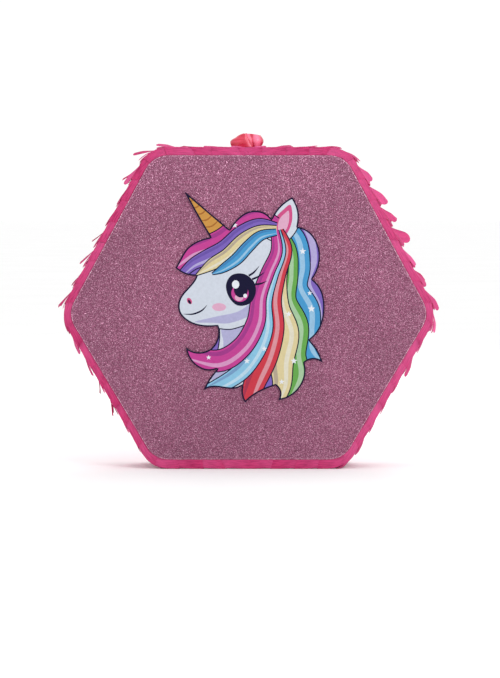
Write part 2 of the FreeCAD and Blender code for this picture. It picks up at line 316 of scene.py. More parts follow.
def glitter_foam():
    """EVA foam faced with glitter: each flake is a tiny mirror glued on at its own angle. Real flakes are
    0.4 mm across and are drawn at up to 0.65 mm, so that they show at arm's length."""
    material, add, place = blank("rose_glitter_foam")
    large, small = (
        add("TexVoronoi", {"Vector": place, "Scale": per_mm(size)}).outputs["Color"]
        for size in (0.65, 0.45)
    )
    # Each flake has a random tone, from dark to a rare pale: the range partly stands for painted glints and
    # painted shade, beside the real glints of the tilted mirrors.
    large_colour = add("ValToRGB", {"Fac": add("SeparateColor", {0: large})}, {
        0.0: "#502436", 0.3: "#723854", 0.62: "#8A4768", 0.86: "#A05C7C", 0.97: "#DCA4C0",
    })
    small_colour = add("ValToRGB", {"Fac": add("SeparateColor", {0: small})}, {
        0.0: "#5C2A44", 0.5: "#7C3C5A", 0.85: "#965472", 1.0: "#ECC4D8",
    })
    colour = add("Mix", {0: 0.42, 6: large_colour, 7: small_colour}, **COLOUR)
    patches = add("TexNoise", {"Vector": place, "Scale": per_mm(60), "Detail": 2.0})
    worn = add("ValToRGB", {"Fac": patches}, {0.35: "#F0F0F0", 0.65: "#FFFFFF"})
    colour = add("Mix", {0: 1.0, 6: colour, 7: worn}, **MULTIPLY)
    face = facing(add)
    colour = add("Mix", {0: face, 6: "#E8A8C4", 7: colour}, **COLOUR)
    # A flake's random colour, centred on zero, leans its mirror away from the sheet's own normal.
    tilt = add("VectorMath", {0: large, 1: [1.0] * 3, 2: [-0.5] * 3}, operation="MULTIPLY_ADD")
    upright = add("NewGeometry").outputs["Normal"]
    lean = add("VectorMath", {0: tilt, 1: [0.6] * 3, 2: upright}, operation="MULTIPLY_ADD")
    normal = add("VectorMath", {0: lean}, operation="NORMALIZE")
    metal = add("Math", {0: face, 1: 0.45}, operation="MULTIPLY")
    shader = {"Base Color": colour, "Metallic": metal, "Roughness": 0.34, "Normal": normal}
    return show(material, add("BsdfPrincipled", shader))


def foam_core():
    """EVA foam where it is cut: pale pink and matt, with crushed cells and a few flakes stuck on it."""
    material, add, place = blank("pink_foam_cut_edge")
    flakes = add("TexVoronoi", {"Vector": place, "Scale": per_mm(1)})
    one = add("SeparateColor", {0: flakes.outputs["Color"]})
    colour = add("ValToRGB", {"Fac": one}, {
        0.0: "#8A4C68", 0.45: "#B87C98", 0.75: "#DDA6C0", 1.0: "#F6DCE8",
    })
    return show(material, add("BsdfPrincipled", {"Base Color": colour, "Roughness": 0.5}))


def corrugated_board(name, inner_face):
    """Single-wall board: brown kraft liners with paper fibres, and between them, on a cut edge, the
    wave of the fluting, whose hollows are painted dark as their shade. The flutes are 6.4 mm apart."""
    material, add, place = blank(name)
    fibres = grain(add, place, (6, 1, 0.7), 5.0)
    liner = add("ValToRGB", {"Fac": fibres}, {0.3: "#A07B50", 0.5: "#B48D60", 0.72: "#C6A276"})
    parts = add("SeparateXYZ", {0: place}).outputs
    # How deep in the board, from -1 at one liner to 1 at the other.
    depth = add("MapRange", {
        "Value": parts["Y"], "From Min": inner_face, "From Max": inner_face + BOARD,
        "To Min": -1.0, "To Max": 1.0,
    }, clamp=False)
    run = add("Math", {0: parts["X"], 1: parts["Z"]}, operation="ADD")
    turn = add("Math", {0: run, 1: math.tau / (6.4 * MM)}, operation="MULTIPLY")
    wave = add("Math", {0: turn}, operation="SINE")
    crest = add("Math", {0: wave, 1: 0.72}, operation="MULTIPLY")
    away = add("Math", {0: depth, 1: crest}, operation="SUBTRACT")
    gap = add("Math", {0: away}, operation="ABSOLUTE")
    hollow = add("MapRange", {"Value": gap, "From Min": 0.16, "From Max": 0.3})
    reach = add("Math", {0: depth}, operation="ABSOLUTE")
    between = add("Math", {0: reach, 1: 0.84}, operation="LESS_THAN")
    painted_flute_shade = add("Math", {0: hollow, 1: between}, operation="MULTIPLY")
    # The hollows are painted dark brown, a painted shade.
    edge = add("Mix", {0: painted_flute_shade, 6: liner, 7: "#4A3420"}, **COLOUR)
    colour = add("Mix", {0: facing(add), 6: edge, 7: liner}, **COLOUR)
    return relief(material, colour, fibres, 0.35, 0.15, {"Roughness": 0.86})


def kraft_tape():
    """Gummed kraft tape: smooth machine-glazed paper, a little glossier than the board under it."""
    material, add, place = blank("gummed_kraft_tape")
    fibres = grain(add, place, (9, 1, 0.6), 6.0)
    colour = add("ValToRGB", {"Fac": fibres}, {0.3: "#AE8350", 0.52: "#C09664", 0.75: "#CDA678"})
    return relief(material, colour, fibres, 0.25, 0.1, {"Roughness": 0.48})


def pink_card():
    """Pulp-dyed card: an even pink with short pale and dark fibres, matt."""
    material, add, place = blank("dyed_pink_card")
    fibres = add("TexNoise", {"Vector": place, "Scale": per_mm(0.9), "Detail": 6.0})
    clouds = add("TexNoise", {"Vector": place, "Scale": per_mm(35), "Detail": 3.0})
    dye = add("ValToRGB", {"Fac": fibres}, {0.28: "#D04C80", 0.5: "#E0608F", 0.74: "#EE86AC"})
    shade = add("ValToRGB", {"Fac": clouds}, {0.35: "#F7F3F5", 0.65: "#FFFFFF"})
    colour = add("Mix", {0: 1.0, 6: dye, 7: shade}, **MULTIPLY)
    return relief(material, colour, fibres, 0.3, 0.1, {"Roughness": 0.8})


def printed_card():
    """White card, printed in flat colours under a thin matt varnish, which keeps its blacks deep. The print
    is in the mesh's own colours."""
    material, add, place = blank("matt_varnished_colour_print")
    ink = add("VertexColor", layer_name="ink")
    # The paper's formation shows through as a faint mottle, 2.5 mm across.
    mottle = add("TexNoise", {"Vector": place, "Scale": per_mm(2.5), "Detail": 4.0})
    # The card is a soft grey-white, which tones all its inks down.
    grey = add("ValToRGB", {"Fac": mottle}, {0.3: "#C9CDD3", 0.7: "#D1D5DB"})
    colour = add("Mix", {0: 1.0, 6: ink, 7: grey}, **MULTIPLY)
    return relief(material, colour, mottle, 0.08, 0.1, {"Roughness": 0.45, "Specular IOR Level": 0.12})


def satin():
    """Woven polyester satin: long floats of bright thread across the ribbon, so it shines in streaks, which
    are also painted into its colour.
    """
    material, add, place = blank("red_satin_ribbon", "UV")
    # Real threads are 0.1 mm apart and are drawn at 0.35 mm, so that they show. Broader streaks, lighter and
    # darker along the ribbon, are painted sheen.
    threads = grain(add, place, (4, 0.35), 2.0)
    painted_sheen_streaks = grain(add, place, (3, 25), 2.0)
    colour = add("ValToRGB", {"Fac": painted_sheen_streaks}, {0.3: "#C81C3C", 0.55: "#D93050", 0.8: "#E44C70"})
    # From each station's shade, a painted highlight turns the red pink where the satin would face the light,
    # and painted fold shade deepens it in the folds.
    fold = add("Attribute", attribute_name="shade").outputs["Fac"]
    painted_highlight = add("MapRange", {"Value": fold, "From Min": 0.5, "To Max": 0.9})
    depth = add("MapRange", {"Value": fold, "From Max": 0.5, "To Min": 0.75, "To Max": 0.0})
    colour = add("Mix", {0: painted_highlight, 6: colour, 7: "#FF86A8"}, **COLOUR)
    colour = add("Mix", {0: depth, 6: colour, 7: "#A8163C"}, **COLOUR)
    gloss = {"Roughness": 0.3, "IOR": 1.55, "Sheen Weight": 0.5, "Sheen Roughness": 0.3}
    return relief(material, colour, threads, 0.4, 0.08, gloss)


def foam_tape():
    """Closed-cell polyethylene foam: white, matt, with bubbles about 0.3 mm across."""
    material, add, place = blank("white_foam_tape")
    cells = add("TexVoronoi", {"Vector": place, "Scale": per_mm(0.3)})
    colour = add("ValToRGB", {"Fac": cells}, {0.1: "#D8D6D0", 0.7: "#F2F1EC"})
    return relief(material, colour, cells, 0.5, 0.1, {"Roughness": 0.7})


CREPE = crepe_paper("pink_crepe_strips", True)
SATIN = satin()
TAPE = kraft_tape()

# Each finish, and the pieces that keep their shape and get it.
FINISHES = (
    (corrugated_board("corrugated_board_front", BOARD_LOW.y),
     "front_panel", "side_wall_upper", "side_wall_lower", "anchor_plate"),
    (corrugated_board("corrugated_board_back", BACK_LOW.y), "back_panel", "filler_flap", "door_stops"),
    (TAPE, "wall_joint_tapes", "front_seam_tape", "back_seam_tape"),
    (crepe_paper("pink_crepe_wrap", False), "crepe_underwrap"),
    (glitter_foam(), "glitter_sheet"),
    (pink_card(), "back_cover", "flap_cover"),
    (foam_tape(), "foam_pads"),
)
for material, *names in FINISHES:
    for name in names:
        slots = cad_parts[name].data.materials
        slots.clear()
        slots.append(material)


# ---------------- crepe rows
def tab_path(root, side, y, along, height, straight):
    """A point on a tab: it follows the wall, or runs straight on where the wall turns away."""
    place, direction, normal = walk(root + along)
    point = place + normal * height
    if straight and along > ROOT:
        start, heading, out = walk(root + ROOT)
        point = point.lerp(start + heading * (along - ROOT) + out * height, straight)
    # The strips under the box are pressed flat by what it stands on.
    return Vector((side * point.x, y, max(point.y, LOWEST)))


def add_tab(bm, draw, root, side, y0, y1, length, turn, loose, calm, own=None):
    """A tab of a strip, uncut for the width of its root, with a rounded end. The edge next to the
    nearer face stays down and the other turns up round it, so that the tab shows its width. own is a
    lifted tab's own lift, straightness, curl and turn."""
    columns, rows = 5, 10
    squareness = 0.94
    half = (y1 - y0) / 2
    near = -1 if y0 + y1 < 0 else 1
    hinge = (y0 + y1) / 2 + near * half
    length += draw.uniform(-3, 2.5) * MM
    lift = draw.uniform(5, 9) * MM if loose else draw.uniform(0, 0.5) * MM
    straight = draw.uniform(0.5, 0.9) if loose else draw.uniform(0.0, 0.3)
    curl = draw.uniform(-3, 2) * MM if loose else draw.uniform(-0.6, 0.3) * MM
    skew = near * draw.uniform(-0.5, 1.6) * MM
    cup = draw.uniform(-0.6, 0.6) * MM
    # A tab's shade is random, and a turned tab is painted paler, as painted light, the more so the further it
    # turns.
    shade = draw.random() ** 1.4 + turn * 0.9
    if calm:
        lift, straight, curl, cup = 0.3 * lift, 0.0, 0.0, 0.3 * cup
    if own:
        lift, straight, curl, turn = own[0] * MM, own[1], own[2] * MM, math.radians(own[3])
    grid = []
    for r in range(rows + 1):
        line = []
        for c in range(columns + 1):
            q = 2 * c / columns - 1
            full = length - half * 0.9 * (1 - math.sqrt(1 - (squareness * q) ** 2))
            along = ROOT * r / 2 if r < 3 else ROOT + (full - ROOT) * (r - 2) / (rows - 2)
            free = max(0.0, (along - ROOT) / (full - ROOT))
            angle = turn * min(1.0, free * 1.5) ** 1.3
            reach = (1 - near * q) * half
            height = RAMP * along + lift * free ** 1.7 + curl * free ** 5
            height += reach * math.sin(angle) + cup * (1 - q * q) * free
            height = max(height, RAMP * along * 0.9)
            y = hinge - near * reach * math.cos(angle) * (1 - 0.05 * min(1.0, free * 5)) + skew * free ** 1.5
            line.append((tab_path(root, side, y, along, height, straight), y, root + along))
        grid.append(line)
    add_patch(bm, grid, side > 0, shade)


# Tabs that stand out where they have been knocked: for each (side, row, tab from the front), how far in
# millimetres its end lifts, how straight it runs on past a corner, its curl and how many degrees it turns.
LIFTED = {
    (-1, 2, 0): (1.2, 0.5, 0.5, 18), (-1, 3, 1): (2.5, 0.8, 0, 22), (-1, 4, 0): (0.8, 0.2, 0, 34),
    (-1, 8, 1): (4.5, 0.6, 0, 14), (-1, 10, 0): (1.6, 0.8, 0, 14), (-1, 10, 2): (4, 0.9, 0, 12),
    (-1, 12, 0): (0.4, 0.1, 0, 24), (-1, 13, 0): (0.5, 0.1, 0, 20),
    (1, 4, 1): (1.2, 0.2, 0, 40), (1, 5, 0): (2, 0.3, 0, 76), (1, 6, 0): (1, 0.3, 2, 46),
    (1, 7, 0): (6.5, 0.5, -3.5, 84), (1, 7, 1): (9, 0.5, -5, 60), (1, 8, 0): (0.4, 0.1, 0, 30),
    (1, 9, 0): (0.2, 0.1, 0, 24), (1, 10, 0): (0.8, 0.3, 0, 38), (1, 11, 1): (1.5, 0.4, 0, 26),
}


# How much of its wall's turn a tab has, from the tabs next to the faces to the middle one.
TURN_SHARES = (1.0, 0.75, 0.5, 0.35, 0.25)


def add_row(bm, draw, root, side, length, style, calm=False, skip=None, number=None):
    """A strip across the wall's whole depth, cut into tabs."""
    wild, turned = style
    first = FRONT_FACE + EDGE_MARGIN
    last = BACK_FACE - EDGE_MARGIN
    cuts = [first + (last - first) * k / TABS for k in range(TABS + 1)]
    for k in range(1, TABS):
        cuts[k] += draw.uniform(-1, 1) * CUT_WANDER
    for k, (y0, y1) in enumerate(zip(cuts, cuts[1:])):
        turn = math.radians(turned) * draw.uniform(0.2, 1.0) * TURN_SHARES[min(k, TABS - 1 - k)]
        loose = draw.random() < wild
        if skip and y0 < skip and y1 > -skip:
            continue
        add_tab(bm, draw, root, side, y0, y1, length, turn, loose, calm, LIFTED.get((side, number, k)))


# For each wall, the share of tabs that stand away from it, and how many degrees the ones next to the
# faces turn towards them at most. The right side has been handled more than the left.
STYLE = {
    "fringe_top": (0.0, 17), "fringe_upper_right": (0.0, 56), "fringe_lower_right": (0.02, 30),
    "fringe_upper_left": (0.04, 12), "fringe_lower_left": (0.02, 10), "fringe_bottom": (0.0, 0),
}
CAP_STYLE = (0.0, 20)


def wall_of(direction, side):
    """The fringe that a strip belongs to, by how many degrees its wall drops from level."""
    drop = math.degrees(math.atan2(-direction.y, direction.x))
    if drop < 30:
        return "fringe_top"
    if drop > 150:
        return "fringe_bottom"
    hand = "right" if side > 0 else "left"
    return ("fringe_upper_" if drop < 90 else "fringe_lower_") + hand


def crepe_fringe():
    """All the strips, from the middle of the top down each side, as one piece a wall."""
    draw = random.Random(11)
    walls = {wall: paper_mesh() for wall in STYLE}
    roots = []
    root = FIRST_ROW
    while root < HALF - ROW_END_GAP - ROOT * 0.5:
        roots.append(root)
        root += ROW_PITCH
    for side in (1, -1):
        add_row(walls["fringe_top"], draw, CAP_START, side, CAP_LENGTH, CAP_STYLE, True, SLIT_CLEARANCE)
        for number, root in enumerate(roots):
            wall = wall_of(walk(root)[1], side)
            length = min(ROW_LENGTH, HALF - ROW_END_GAP - root)
            calm = wall == "fringe_bottom" or root < FIRST_ROW + ROW_PITCH / 2
            if length > ROOT * 1.5:
                add_row(walls[wall], draw, root, side, length, STYLE[wall], calm, None, number)
    for wall, bm in walls.items():
        piece = finish_sheet(bm, wall + "_paper", "box", CREPE)
        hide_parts(wall)
    return roots


ROOTS = crepe_fringe()


def crepe_border(name, face, way, inset, roots):
    """Each strip's margin, folded from the wall onto a face as far as the sheet that covers it. way is
    the direction along Y that the face looks."""
    draw = random.Random(23)
    bm = paper_mesh()
    # It ends just inside the covering sheet's edge, and each margin lies over the next one's start.
    inner = -inset + 0.25 * MM - SKIN
    overlap = 2.2 * MM
    columns = 10
    # The first margin starts a hair past the middle of the top, so that the two sides close.
    starts = [-0.2 * MM] + roots
    for side in (1, -1):
        # The strips end on a slant, and the inner end of each is the shorter.
        slants = [0.0] + [draw.uniform(-10, -1) * MM for root in roots] + [0.0]
        for number, root in enumerate(starts):
            end = HALF if root == roots[-1] else starts[number + 1] + overlap
            # The right-hand walls are painted paler, as painted light from the right.
            painted_right_light = 0.4 * max(0.0, side * walk((root + end) / 2)[2].x)
            shade = 0.05 + painted_right_light + draw.random() * 0.4
            wander = [draw.uniform(-0.3, 0.3) for _ in range(12)]
            grid = []
            for c in range(columns + 1):
                share = c / columns
                along = (end - root) * share
                slant = slants[number] * (1 - share) + slants[number + 1] * share
                lift = (0.35 + 0.9 * along / ROW_PITCH + wander[c] * 0.5) * MM
                # Under the box the margin bulges down to what the box stands on, and on top it is loose.
                upward = walk(root + along)[2].y
                swell = (1.3 if upward > 0 else 2.4) * MM * abs(upward) ** 3
                # How far out from the wall, and how far in from the face, from the wall to the sheet.
                section = [
                    (lift * 0.6 + swell, 3.0 * MM),
                    (lift + swell, 1.2 * MM),
                    (lift * 0.8 + swell * 0.8, -lift * 0.55),
                    (-0.7 * MM, -lift),
                    (-2.6 * MM, -lift - wander[c] * MM),
                    (inner * 0.68, -lift * 0.95 - wander[c + 1] * MM),
                    (inner + (0.5 + wander[c + 1]) * MM, -lift * 0.7),
                ]
                line = []
                unrolled = 0.0
                for k, (offset, depth) in enumerate(section):
                    place, direction, normal = walk(root + along + slant * k / (len(section) - 1))
                    point = place + normal * offset
                    if k:
                        before = section[k - 1]
                        unrolled += math.hypot(offset - before[0], depth - before[1])
                    edge = Vector((side * point.x, face - way * depth, max(point.y, LOWEST)))
                    line.append((edge, unrolled, root + along))
                grid.append(line)
            # Each margin's shade is painted darker towards its end, a painted shadow at the step onto the
            # next margin, and paler across from the wall onto the face: partly painted light, partly the
            # darker stack of tab edges at the wall.
            add_patch(bm, grid, (side > 0) == (way > 0), shade, -0.35, 0.3)
    piece = finish_sheet(bm, name, "box", CREPE)


crepe_border("front_border_paper", FRONT_FACE, -1, GLITTER_INSET, ROOTS)
crepe_border("back_border_paper", BACK_FACE, 1, COVER_INSET, ROOTS)


def foam_edge():
    """The glitter sheet's cut edge, rounded over where it was stamped, with the pink foam showing."""
    low, high = span("glitter_sheet")
    bm = paper_mesh()
    steps, arcs = 360, 4
    rows = []
    for k in range(steps + 1):
        place, direction, normal = walk(HALF * 2 * (k % steps) / steps)
        line = []
        for j in range(arcs + 1):
            # A little more than a quarter turn, from the face round to the side.
            angle = math.radians(100 * j / arcs - 5)
            out = -GLITTER_INSET - SKIN + (0.55 * math.sin(angle) - 0.4) * MM
            deep = low.y + (0.5 - 0.6 * math.cos(angle)) * MM
            point = place + normal * out
            line.append((Vector((point.x, deep, point.y)), j * 0.3 * MM, k * 3 * MM))
        rows.append(line)
    add_patch(bm, rows, True)
    piece = finish_sheet(bm, "foam_edge", "box", foam_core(), 0.05 * MM)


foam_edge()


# ---------------- printed unicorn
NAVY, WHITE, SHADE = "#100C34", "#E6E9EF", "#C3BEDF"
PINK, BLUE, GREEN, RED = "#D8489C", "#4FA6D8", "#72B654", "#E2404E"
CREAM, PURPLE, SKY = "#F3DFA6", "#8A6CC4", "#9AD4EE"
ROSE, BLUSH = "#E4588E", "#F4B8D0"
GOLD, PALE_GOLD, BROWN = "#E0A04C", "#F8D48C", "#B87434"
# The drawing's own origin on the card, from which all its points are given in millimetres.
ART_X = CARD_LOW.x + 82 * MM
ART_Z = CARD_HIGH.z - 121 * MM
# The ink line's width round an area, and round the whole card.
LINE = 1.3
RIM = 1.7


def curve(points, closed=True, steps=7):
    """A smooth curve through the points, which may carry a third value along."""
    count = len(points)
    line = []
    for i in range(count if closed else count - 1):
        if closed:
            a, b, c, d = (points[(i + k) % count] for k in (-1, 0, 1, 2))
        else:
            a, b, c, d = (points[min(max(i + k, 0), count - 1)] for k in (-1, 0, 1, 2))
        for t in (k / steps for k in range(steps)):
            line.append([
                0.5 * (2 * q + (r - p) * t + (2 * p - 5 * q + 4 * r - s) * t * t
                       + (3 * q - p - 3 * r + s) * t ** 3)
                for p, q, r, s in zip(a, b, c, d)
            ])
    return line if closed else line + [list(points[-1])]


def sideways(a, b):
    """The unit vector to the left of the way from a to b."""
    du, dv = b[0] - a[0], b[1] - a[1]
    size = math.hypot(du, dv) or 1.0
    return -dv / size, du / size


def offset_loop(loop, distance):
    """A closed loop moved outwards, or inwards where distance is negative."""
    if sum(a[0] * b[1] - b[0] * a[1] for a, b in zip(loop, loop[1:] + loop[:1])) > 0:
        distance = -distance
    moved = []
    for i, point in enumerate(loop):
        du, dv = sideways(loop[i - 1], loop[(i + 1) % len(loop)])
        moved.append([point[0] + du * distance, point[1] + dv * distance])
    return moved


def stroke(spine, grow=0.0):
    """The outline of a brush stroke along (u, v, half width) points."""
    line = curve(spine, closed=False)
    left, right = [], []
    for i, (u, v, half) in enumerate(line):
        du, dv = sideways(line[max(i - 1, 0)], line[min(i + 1, len(line) - 1)])
        half = max(half, 0.05) + grow
        left.append([u + du * half, v + dv * half])
        right.append([u - du * half, v - dv * half])
    return left + right[::-1]


def mixed(code, other, share):
    """A hex colour part of the way to another."""
    a, b = ([int(c[i:i + 2], 16) for i in (1, 3, 5)] for c in (code, other))
    return "#" + "".join("%02X" % round(p + (q - p) * share) for p, q in zip(a, b))


def lock(colour, *spine):
    """A lock in four flat tones: an ink line, its colour, a light streak and a dark one."""
    def streak(side, width):
        """A thinner stroke beside the lock's middle line. Both are shares of the lock's half width."""
        line = []
        for i, (u, v, half) in enumerate(spine):
            du, dv = sideways(spine[max(i - 1, 0)], spine[min(i + 1, len(spine) - 1)])
            shift = half * side
            half = 0.1 if i in (0, len(spine) - 1) else half * width
            line.append((u - du * shift, v - dv * shift, half))
        return stroke(line)
    return [
        (NAVY, stroke(spine, LINE)),
        (colour, stroke(spine)),
        (mixed(colour, "#30206A", 0.22), streak(0.66, 0.2)),
        (mixed(colour, "#FFFFFF", 0.5), streak(-0.42, 0.2)),
    ]


def area(colour, *points, line=LINE):
    """A flat area with a smooth edge and, unless line is 0, an ink line round it."""
    loop = curve(points)
    inked = [(NAVY, offset_loop(loop, line))] if line else []
    return inked + [(colour, loop)]


def mark(colour, *spine):
    """One stroke without an ink line."""
    return [(colour, stroke(spine))]


def oval(colour, u, v, across, up, turn=0):
    """A flat oval, given by its half sizes and turned by degrees."""
    sides = 26
    c, s = math.cos(math.radians(turn)), math.sin(math.radians(turn))
    angles = [math.tau * k / sides for k in range(sides)]
    spots = [(across * math.cos(a), up * math.sin(a)) for a in angles]
    return [(colour, [[u + c * p - s * q, v + s * p + c * q] for p, q in spots])]


def star(u, v, size):
    """A white sparkle with five points."""
    radii = [size, size * 0.42] * 5
    turns = [math.pi * k / 5 for k in range(10)]
    return [("#FFFFFF", [[u + r * math.sin(a), v + r * math.cos(a)] for r, a in zip(radii, turns)])]


def unicorn_drawing():
    """The picture, back to front, as (colour, outline) areas."""
    # A hair colour behind everything else.
    art = [(PURPLE, [[-100, -140], [110, -140], [110, 140], [-100, 140]])]
    # back of the mane
    art += lock(PURPLE, (34, 96, 8), (62, 74, 17), (70, 44, 17), (64, 16, 15), (74, -12, 18), (76, -36, 14),
        (66, -60, 6))
    art += lock(BLUE, (30, 90, 8), (52, 66, 14), (58, 36, 14), (56, 10, 13), (68, -16, 15), (68, -44, 15),
        (72, -66, 12), (92, -84, 6))
    art += lock(GREEN, (26, 84, 6), (44, 56, 11), (46, 26, 12), (44, -4, 12), (56, -34, 14), (54, -66, 13),
        (56, -92, 14), (40, -124, 10))
    art += lock(CREAM, (24, 80, 6), (36, 50, 11), (34, 18, 11), (36, -12, 12), (46, -42, 13), (40, -74, 13),
        (40, -102, 10), (30, -126, 8))
    # neck
    art += area(WHITE, (-30, -24), (-31, -50), (-36, -72), (-48, -94), (-60, -114), (-36, -112), (-10, -112),
        (16, -104), (34, -50), (36, 10), (10, 30), (-20, 0))
    art += area(SHADE, (-28, -34), (-27, -54), (-31, -74), (-42, -94), (-20, -100), (-2, -82), (-8, -52),
        (0, -26), line=0)
    # head
    art += area(WHITE, (-34, 72), (-45, 48), (-55, 26), (-65, 12), (-76, -2), (-77, -17), (-66, -29),
        (-50, -35), (-34, -36), (-14, -36), (14, -22), (32, 10), (38, 50), (26, 88), (0, 94))
    art += area(SHADE, (-60, -29), (-40, -30), (-18, -30), (8, -18), (24, 8), (14, 2), (-8, -16), (-36, -23),
        line=0)
    # ear
    art += area(WHITE, (18, 72), (24, 90), (38, 108), (54, 118), (60, 98), (56, 76), (40, 62))
    art += area(ROSE, (30, 74), (33, 90), (42, 100), (50, 105), (52, 90), (48, 76), (40, 68), line=0)
    art += area(BLUSH, (36, 76), (37, 88), (44, 96), (48, 98), (48, 86), (44, 76), line=0)
    # front of the mane
    art += lock(RED, (36, 76, 5), (42, 54, 9), (34, 26, 10), (28, -4, 11), (30, -36, 12), (22, -68, 13),
        (10, -96, 12), (-2, -128, 8))
    art += lock(SKY, (34, 76, 4), (38, 52, 6), (28, 24, 7), (20, -6, 8), (20, -38, 9), (8, -68, 9),
        (-14, -92, 9), (-56, -114, 6))
    art += lock(PINK, (32, 76, 4), (34, 52, 6), (24, 28, 7), (14, 0, 8), (10, -30, 10), (-6, -58, 11),
        (-34, -74, 12), (-76, -64, 9))
    # horn, with its spiral
    art += [
        (NAVY, [[-80, 134], [-50, 61], [-30, 56], [-10, 66], [-10, 88]]),
        (GOLD, [[-80, 134], [-49, 62], [-30, 57.2], [-11.4, 67], [-11.4, 87]]),
        (PALE_GOLD, [[-74, 123], [-44, 67], [-37, 63], [-69, 114]]),
    ]
    for k in range(7):
        t = 0.02 + 0.13 * k
        left = (-46 - 26 * t, 64 + 57 * t)
        right = (-16 - 56 * t, 76 + 45 * t)
        sag = 5 * (1 - t)
        middle = ((left[0] + right[0]) / 2 + sag * 0.5, (left[1] + right[1]) / 2 - sag)
        art += mark(BROWN, (*left, 0.3), (*middle, 0.9), (*right, 0.5))
    # forelock
    art += lock(PINK, (34, 84, 6), (14, 92, 9), (-6, 84, 11), (-26, 68, 11), (-46, 58, 11), (-66, 50, 11),
        (-88, 32, 6))
    art += lock(PURPLE, (34, 80, 4), (14, 83, 6), (-6, 73, 8), (-26, 56, 8), (-46, 45, 8), (-62, 37, 6),
        (-76, 24, 4))
    art += lock(CREAM, (34, 77, 4), (14, 76, 5), (-4, 65, 7), (-22, 48, 7), (-40, 37, 6), (-58, 25, 0.3))
    art += lock(BLUE, (34, 74, 3), (16, 70, 5), (2, 58, 6), (-12, 43, 6), (-28, 32, 4), (-40, 26, 0.3))
    # eye and lashes
    art += area(NAVY, (-24, 14), (-17, 25), (-3, 26), (8, 17), (10, 4), (3, -8), (-11, -10), (-21, 0),
        line=0)
    art += oval(PINK, -8, 4, 10, 10)
    art += oval(BLUSH, -9, -1, 5, 4)
    art += oval(NAVY, -7, 8, 8, 9)
    art += oval("#FFFFFF", -13, 14, 4.2, 4.8)
    art += oval("#FFFFFF", -2, 1, 2.2, 2.4)
    art += mark(NAVY, (2, 24, 1.2), (8, 28, 1.0), (14, 35, 0.2))
    art += mark(NAVY, (6, 20, 1.2), (13, 23, 1.0), (20, 28, 0.2))
    art += mark(NAVY, (9, 14, 1.2), (16, 15, 1.0), (23, 18, 0.2))
    # nostril, mouth and cheek
    art += oval(ROSE, -66, -5, 2.6, 4, 30)
    art += oval(NAVY, -66, -6, 1.4, 2.8, 30)
    art += mark(NAVY, (-73, -20, 0.2), (-62, -20, 0.9), (-52, -16, 0.9), (-46, -10, 0.2))
    art += oval(BLUSH, -32, -12, 8, 4.6)
    for u, v, size in ((64, 52, 4), (74, -14, 4.5), (54, -74, 4), (48, -20, 3.6), (40, -98, 3.4),
                       (20, -60, 3.4), (72, 4, 3), (-14, 82, 3.6), (0, -74, 3.6), (-44, -70, 3)):
        art += star(u, v, size)
    return art


def card_edge():
    """The cutout's own edge, as one loop of (u, v) points in the drawing's millimetres."""
    bm = bmesh.new()
    bm.from_mesh(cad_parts["unicorn_cutout"].data)
    bmesh.ops.remove_doubles(bm, verts=bm.verts, dist=THIN)
    front = {f for f in bm.faces if f.calc_center_median().y < CARD_LOW.y + 0.1 * MM}
    ahead = {}
    for face in (f for f in bm.faces if f in front):
        for loop in face.loops:
            if sum(f in front for f in loop.edge.link_faces) == 1:
                ahead[loop.vert.index] = loop.link_loop_next.vert.index
    bm.verts.ensure_lookup_table()
    at = start = next(iter(ahead))
    edge = []
    while not edge or at != start:
        place, following = bm.verts[at].co, bm.verts[ahead[at]].co
        pieces = max(1, round((following - place).length / (1.5 * MM)))
        for k in range(pieces):
            point = place.lerp(following, k / pieces)
            edge.append([(point.x - ART_X) / MM, (point.z - ART_Z) / MM])
        at = ahead[at]
    bm.free()
    return edge


def inner_rim(edge):
    """The edge moved in by the ink rim's width, without the points that cross over in sharp tips."""
    ends = [Vector(p) for p in edge]
    kept = []
    for point in map(Vector, offset_loop(edge, -RIM)):
        gaps = []
        for a, b in zip(ends, ends[1:] + ends[:1]):
            foot, share = geometry.intersect_point_line(point, a, b)
            gaps.append((point - (foot.to_2d() if 0 <= share <= 1 else a)).length)
        if min(gaps) > RIM * 0.93:
            kept.append(list(point))
    return kept


def inside(places, outline):
    """Which places lie inside a closed outline, by its winding round each of them."""
    a = numpy.array([p[:2] for p in outline])
    b = numpy.roll(a, -1, axis=0)
    u, v = places[:, :1], places[:, 1:]
    left = (b[:, 0] - a[:, 0]) * (v - a[:, 1]) - (u - a[:, 0]) * (b[:, 1] - a[:, 1])
    upward = (a[:, 1] <= v) & (b[:, 1] > v) & (left > 0)
    downward = (a[:, 1] > v) & (b[:, 1] <= v) & (left < 0)
    return upward.sum(axis=1) != downward.sum(axis=1)


